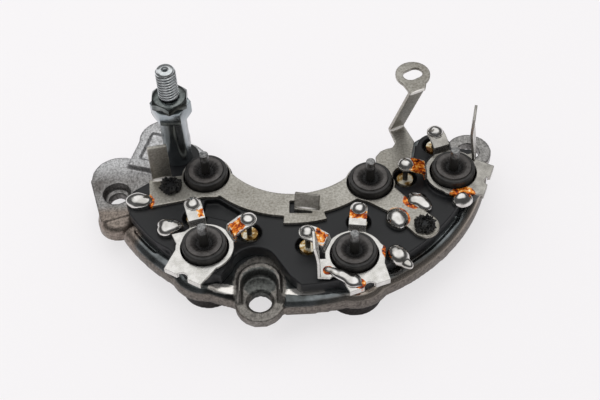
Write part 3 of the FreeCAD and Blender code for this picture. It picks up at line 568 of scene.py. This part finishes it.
# Cell diodes: small diodes in the board's wells. Their caps are stained brown and cream by flux,
# and each sends a lead up through a phase plate's tab.
stained_cap = new_material("flux-stained brass cap")
where = add(stained_cap, "ShaderNodeTexCoord").outputs["Object"]
stain = add(stained_cap, "ShaderNodeTexNoise",
            {"Vector": where, "Scale": 420.0, "Detail": 4.0, "Roughness": 0.6})
tone = add(stained_cap, "ShaderNodeValToRGB", {"Fac": stain.outputs["Fac"]},
           stops=[(0.36, linear("#5A3208")), (0.47, linear("#A88543")), (0.57, linear("#EDE7D3"))])
skin = add(stained_cap, "ShaderNodeBsdfPrincipled",
           {"Base Color": tone.outputs["Color"], "Metallic": 0.6, "Roughness": 0.25})
add(stained_cap, "ShaderNodeOutputMaterial", {"Surface": skin.outputs["BSDF"]})
cell_wire = lead_wire("tinned lead wire, cell diodes", 15.5)
for number in range(1, 7):
    dress(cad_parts["cell_diode_%d" % number], stained_cap)
    dress(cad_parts["cell_lead_%d" % number], cell_wire)


# Solder: bright drops where the leads and the small diodes' legs meet the sheets. Each froze with
# a smooth, slightly uneven skin that mirrors the studio, so it is white on top and dark at its edge.
solder = new_material("bright tin-lead solder")
where = add(solder, "ShaderNodeTexCoord").outputs["Object"]
ripple = add(solder, "ShaderNodeTexNoise", {"Vector": where, "Scale": 300.0, "Detail": 2.0})
tone = add(solder, "ShaderNodeValToRGB", {"Fac": ripple.outputs["Fac"]},
           stops=[(0.35, linear("#C9C6C1")), (0.65, linear("#EFEDEA"))])
bump = add(solder, "ShaderNodeBump",
           {"Height": ripple.outputs["Fac"], "Strength": 0.2, "Distance": 0.3 * mm})
skin = add(solder, "ShaderNodeBsdfPrincipled",
           {"Base Color": tone.outputs["Color"], "Metallic": 1.0, "Roughness": 0.13,
            "Normal": bump.outputs["Normal"]})
add(solder, "ShaderNodeOutputMaterial", {"Surface": skin.outputs["BSDF"]})

# Where the solder ran on, it froze as lumps and spouts that are one with their drop. For each drop:
# x, y, z, length, width, height and heading of each lump, in mm and degrees.
runs = {"blade_solder": ((26.0, -0.7, 11.4, 5.4, 4.8, 2.8, -35), (19.4, 3.4, 11.6, 2.2, 2.0, 1.4, 0)),
        "plate_solder_1": ((-25.4, 22.0, 9.7, 7.6, 5.4, 4.4, 15),),
        "bar_solder_1": ((-34.9, 32.9, 9.7, 8.0, 5.4, 4.0, -10),),
        "bar_solder_2": ((40.2, 21.6, 9.7, 7.4, 6.4, 4.4, -71),),
        "plate_solder_2": ((39.2, 8.7, 9.6, 6.8, 5.8, 4.4, -50), (40.9, 6.6, 9.2, 6.2, 3.2, 2.4, -46)),
        "bar_solder_3": ((47.4, 27.8, 9.6, 8.4, 4.6, 3.2, -44),)}
unevenness = bpy.data.textures.new("uneven skin", "CLOUDS")
unevenness.noise_scale = 3.2 * mm
for node in [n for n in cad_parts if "solder" in n]:
    drop = own_copy(node, "frozen_" + node)
    for x, y, z, length, width, height, heading in runs.get(node, ()):
        bpy.ops.object.select_all(action="DESELECT")
        bpy.ops.mesh.primitive_ico_sphere_add(subdivisions=4, radius=0.5 * mm)
        lump = bpy.context.active_object
        bpy.ops.object.mode_set(mode="EDIT")
        bpy.ops.mesh.select_all(action="SELECT")
        bpy.ops.transform.resize(value=(length, width, height))
        bpy.ops.object.mode_set(mode="OBJECT")
        turned = Matrix.Rotation(math.radians(heading), 4, "Z")
        lump.data.transform(Matrix.Translation(Vector((x, y, z)) * mm) @ turned)
        drop.select_set(True)
        bpy.context.view_layer.objects.active = drop
        bpy.ops.object.join()
    only(drop)
    wear(drop, 0.17, 3)
    settled = 0.45 if "blade" in node or "tab" in node else 0.2
    modify(drop, "DISPLACE", texture=unevenness, strength=0.55 * mm, mid_level=settled,
           texture_coords="GLOBAL")
    modify(drop, "SMOOTH", factor=0.5, iterations=30)
    dress(drop, solder)


# Output stud: zinc-plated M6 stud that takes the battery cable, with a hex-collared sleeve down to
# the board and a thin nut. Bright zinc mirrors its surroundings with a slight blue cast.
zinc = new_material("bright zinc-plated steel")
where = add(zinc, "ShaderNodeTexCoord").outputs["Object"]
cast_of_blue = add(zinc, "ShaderNodeTexNoise", {"Vector": where, "Scale": 160.0, "Detail": 3.0})
tone = add(zinc, "ShaderNodeValToRGB", {"Fac": cast_of_blue.outputs["Fac"]},
           stops=[(0.35, linear("#9BA4A8")), (0.65, linear("#BCC3C6"))])
skin = add(zinc, "ShaderNodeBsdfPrincipled",
           {"Base Color": tone.outputs["Color"], "Metallic": 1.0, "Roughness": 0.19})
add(zinc, "ShaderNodeOutputMaterial", {"Surface": skin.outputs["BSDF"]})
# Painted reflection: a darker copy of the zinc plating, for the dark surroundings that the nut's faces
# mirror.
nut_zinc_painted_dark = new_material("zinc-plated nut painted dark for its reflection")
where = add(nut_zinc_painted_dark, "ShaderNodeTexCoord").outputs["Object"]
wiped = add(nut_zinc_painted_dark, "ShaderNodeTexNoise",
            {"Vector": where, "Scale": 500.0, "Detail": 4.0, "Roughness": 0.6})
tone = add(nut_zinc_painted_dark, "ShaderNodeValToRGB", {"Fac": wiped.outputs["Fac"]},
           stops=[(0.35, linear("#5E6564")), (0.65, linear("#8A8F8D"))])
skin = add(nut_zinc_painted_dark, "ShaderNodeBsdfPrincipled",
           {"Base Color": tone.outputs["Color"], "Metallic": 1.0, "Roughness": 0.22})
add(nut_zinc_painted_dark, "ShaderNodeOutputMaterial", {"Surface": skin.outputs["BSDF"]})
sleeve = own_copy("stud_sleeve", "hex_collared_sleeve")
modify(sleeve, "BEVEL", width=0.25 * mm, segments=2, limit_method="ANGLE", angle_limit=math.radians(38))
bpy.ops.object.shade_smooth_by_angle(angle=math.radians(34))
dress(sleeve, zinc)
nut = own_copy("stud_nut", "thin_hex_nut")
# The nut's corners are turned off to a 30 degree chamfer, cut here with a large ball below it
ball_radius, ball_drop = 8.16, 3.87
nut_low, nut_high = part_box("stud_nut")
ball_place = ((nut_low[0] + nut_high[0]) / 2, (nut_low[1] + nut_high[1]) / 2, nut_low[2] - ball_drop * mm)
bpy.ops.object.select_all(action="DESELECT")
bpy.ops.mesh.primitive_uv_sphere_add(segments=128, ring_count=64, radius=ball_radius * mm,
                                     location=ball_place)
ball = bpy.context.active_object
only(nut)
modify(nut, "BOOLEAN", object=ball, operation="INTERSECT", solver="EXACT")
bpy.data.objects.remove(ball)
modify(nut, "BEVEL", width=0.18 * mm, segments=2, limit_method="ANGLE", angle_limit=math.radians(38))
bpy.ops.object.shade_smooth_by_angle(angle=math.radians(34))
dress(nut, nut_zinc_painted_dark)

# The stud itself: a flat round head under the casting, a plain shank through the sleeve and a
# rolled M6 thread above the nut, with a chamfered tip and a shallow centre mark in its end face.
stud_x, stud_y = [500 * (a + b) for a, b in list(zip(*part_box("output_stud")))[:2]]
head_radius, head_low, head_height = 5.45, -4.1, 2.55
shank_radius, shoulder, shank_length = 2.6, 0.02, 36.6
bpy.ops.object.select_all(action="DESELECT")
bpy.ops.mesh.primitive_circle_add(vertices=64, radius=head_radius * mm, fill_type="NGON",
                                  location=(stud_x * mm, stud_y * mm, head_low * mm))
bolt = bpy.context.active_object
bolt.name = "threaded_stud"
bpy.ops.object.transform_apply(location=True)
bpy.ops.object.mode_set(mode="EDIT")
bpy.ops.mesh.select_all(action="SELECT")


def grow(rise, scale):
    """Extrudes the selected end face upwards and scales it."""
    bpy.ops.mesh.extrude_region_move(TRANSFORM_OT_translate={"value": (0, 0, rise * mm)})
    if scale != 1:
        bpy.ops.transform.resize(value=(scale, scale, 1))


grow(head_height, 1)
grow(shoulder, shank_radius / head_radius)
grow(shank_length, 1)
thread_start = head_low + head_height + shoulder + shank_length
thread_steps, thread_step = 100, 0.1
for turn in range(thread_steps):
    grow(thread_step, 1)
grow(0.25, 0.86)
grow(0.0, 0.50)
grow(-0.3, 0.80)
grow(-0.45, 0.10)
bpy.ops.mesh.select_all(action="SELECT")
bpy.ops.mesh.normals_make_consistent(inside=False)
bpy.ops.object.mode_set(mode="OBJECT")

# Each ring of the thread's stretch is pushed in and out along a helix of 1 mm pitch
root_radius, thread_depth, tip_radius, tip_slope = 2.42, 0.56, 2.95, 0.6
thread_end = thread_start + thread_steps * thread_step
for vertex in bolt.data.vertices:
    x, y, z = vertex.co.x / mm - stud_x, vertex.co.y / mm - stud_y, vertex.co.z / mm
    if thread_start + 0.05 < z < thread_end + 0.02 and math.hypot(x, y) > 2.0:
        phase = (z - math.atan2(y, x) / (2 * math.pi)) % 1.0
        depth = min(1.0, max(0.0, 1.35 * abs(2 * phase - 1) - 0.2))
        radius = root_radius + thread_depth * depth
        tip = max(0.0, z - (thread_end - 0.7))
        radius = min(radius, tip_radius - tip_slope * tip)
        grown = radius / math.hypot(x, y)
        vertex.co.x = (stud_x + x * grown) * mm
        vertex.co.y = (stud_y + y * grown) * mm
only(bolt)
bpy.ops.object.shade_smooth_by_angle(angle=math.radians(50))
# Painted highlight: a lighter copy of the zinc plating, for the bright crests of the thread.
thread_zinc_painted_light = new_material("rolled zinc-plated thread painted light for its crests")
where = add(thread_zinc_painted_light, "ShaderNodeTexCoord").outputs["Object"]
wiped = add(thread_zinc_painted_light, "ShaderNodeTexNoise", {"Vector": where, "Scale": 600.0, "Detail": 3.0})
tone = add(thread_zinc_painted_light, "ShaderNodeValToRGB", {"Fac": wiped.outputs["Fac"]},
           stops=[(0.35, linear("#D0D6D8")), (0.65, linear("#F0F3F4"))])
# Painted shade darkens the bottom of the thread's groove, below the chamfered tip
reach = add(thread_zinc_painted_light, "ShaderNodeVectorMath", {0: round_axis(thread_zinc_painted_light, where, stud_x, stud_y)},
            operation="LENGTH")
axes = add(thread_zinc_painted_light, "ShaderNodeSeparateXYZ", {"Vector": where})
grooved = add(thread_zinc_painted_light, "ShaderNodeMapRange",
              {"Value": reach.outputs["Value"], "From Min": 2.78 * mm,
               "From Max": 2.52 * mm})
under_tip = add(thread_zinc_painted_light, "ShaderNodeMapRange", {"Value": axes.outputs["Z"], "From Min": 45.0 * mm,
                                                    "From Max": 44.8 * mm})
groove_shade = add(thread_zinc_painted_light, "ShaderNodeMath",
            {0: grooved.outputs["Result"], 1: under_tip.outputs["Result"]},
            operation="MULTIPLY")
groove_shaded = add(thread_zinc_painted_light, "ShaderNodeMix",
             {0: groove_shade.outputs[0], 6: tone.outputs["Color"], 7: linear("#3B4043")},
             data_type="RGBA")
skin = add(thread_zinc_painted_light, "ShaderNodeBsdfPrincipled", {"Base Color": groove_shaded.outputs[2], "Metallic": 0.9,
                                                     "Roughness": 0.16})
add(thread_zinc_painted_light, "ShaderNodeOutputMaterial", {"Surface": skin.outputs["BSDF"]})
dress(bolt, thread_zinc_painted_light)
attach(bolt, "root")
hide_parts("output_stud")


# Studio: a pale floor that the object stands on, soft light from above and behind, and the camera
# at the photograph's angle.
floor_level = -7.5 * mm
floor_paint = new_material("pale seamless floor")
floor_skin = add(floor_paint, "ShaderNodeBsdfPrincipled",
                 {"Base Color": linear("#EFEDEE"), "Roughness": 0.9,
                  "Specular IOR Level": 0.1})
pale = add(floor_paint, "ShaderNodeEmission", {"Color": linear("#F9F7F8"), "Strength": 1.0})
seen = add(floor_paint, "ShaderNodeLightPath")
share = add(floor_paint, "ShaderNodeMath",
            {0: seen.outputs["Is Camera Ray"], 1: 0.70}, operation="MULTIPLY")
lit = add(floor_paint, "ShaderNodeMixShader", {0: share.outputs[0], 1: floor_skin.outputs["BSDF"],
                                               2: pale.outputs["Emission"]})
add(floor_paint, "ShaderNodeOutputMaterial", {"Surface": lit.outputs["Shader"]})
bpy.ops.mesh.primitive_plane_add(size=6.0, location=(0, 0, floor_level))
floor = bpy.context.active_object
floor.name = "studio_floor"
floor.data.materials.append(floor_paint)

world = bpy.data.worlds.new("studio surround")
bpy.context.scene.world = world
world.use_nodes = True
world.node_tree.nodes.clear()
ray = add(world, "ShaderNodeLightPath")
heading = add(world, "ShaderNodeTexCoord").outputs["Generated"]
towards = add(world, "ShaderNodeVectorMath",
              {0: heading, 1: (0.0, 0.20, 0.98)}, operation="DOT_PRODUCT")
softbox = add(world, "ShaderNodeMapRange",
              {"Value": towards.outputs["Value"], "From Min": 0.66, "From Max": 0.84,
               "To Min": 0.08, "To Max": 1.0})
height = add(world, "ShaderNodeSeparateXYZ", {"Vector": heading})
horizon = add(world, "ShaderNodeMapRange",
              {"Value": height.outputs["Z"], "From Min": 0.30, "From Max": 0.05,
               "To Min": 0.0, "To Max": 0.35})
around = add(world, "ShaderNodeMath",
             {0: softbox.outputs["Result"], 1: horizon.outputs["Result"]}, operation="MAXIMUM")
mirrored = add(world, "ShaderNodeBackground",
               {"Color": linear("#FFFFFF"), "Strength": around.outputs[0]})
soft = add(world, "ShaderNodeBackground", {"Color": linear("#FBFAFC"), "Strength": 0.80})
mix = add(world, "ShaderNodeMixShader", {0: ray.outputs["Is Glossy Ray"], 1: soft.outputs["Background"],
                                         2: mirrored.outputs["Background"]})
add(world, "ShaderNodeOutputWorld", {"Surface": mix.outputs["Shader"]})

# Two lamps round the picture's middle: name, place from there in metres, size and power
middle = Vector((12.5, 30.3, 10.0)) * mm
lamps = (("back softbox", (-0.08, 0.30, 0.60), 0.60, 1.3), ("left softbox", (-0.40, -0.10, 0.55), 0.22, 0.4))
for name, place, size, power in lamps:
    lamp = bpy.data.lights.new(name, "AREA")
    lamp.shape = "SQUARE"
    lamp.size = size
    lamp.energy = power
    lamp_object = bpy.data.objects.new(name, lamp)
    bpy.context.scene.collection.objects.link(lamp_object)
    lamp_object.location = middle + Vector(place)
    lamp_object.rotation_euler = (-Vector(place)).to_track_quat("-Z", "Y").to_euler()
    lamp_object.visible_glossy = False

# The photograph's camera: 50 degrees down, 332 mm from the middle of the picture, rolled slightly
view_down = math.radians(50.0)
roll = math.radians(-2.65)
distance = 0.3323
forward = Vector((0, math.cos(view_down), -math.sin(view_down)))
level_up = Vector((0, math.sin(view_down), math.cos(view_down)))
right = Vector((1, 0, 0)) * math.cos(roll) + level_up * math.sin(roll)
up = -Vector((1, 0, 0)) * math.sin(roll) + level_up * math.cos(roll)
lens = bpy.data.cameras.new("studio camera")
lens.sensor_fit = "HORIZONTAL"
lens.sensor_width = 36.0
lens.lens = 68.04
lens.clip_start = 0.01
camera = bpy.data.objects.new("studio camera", lens)
bpy.context.scene.collection.objects.link(camera)
stand = Matrix((right, up, -forward)).transposed().to_4x4()
stand.translation = middle - forward * distance
camera.matrix_world = stand
bpy.context.scene.camera = camera
bpy.context.scene.view_settings.view_transform = "Standard"
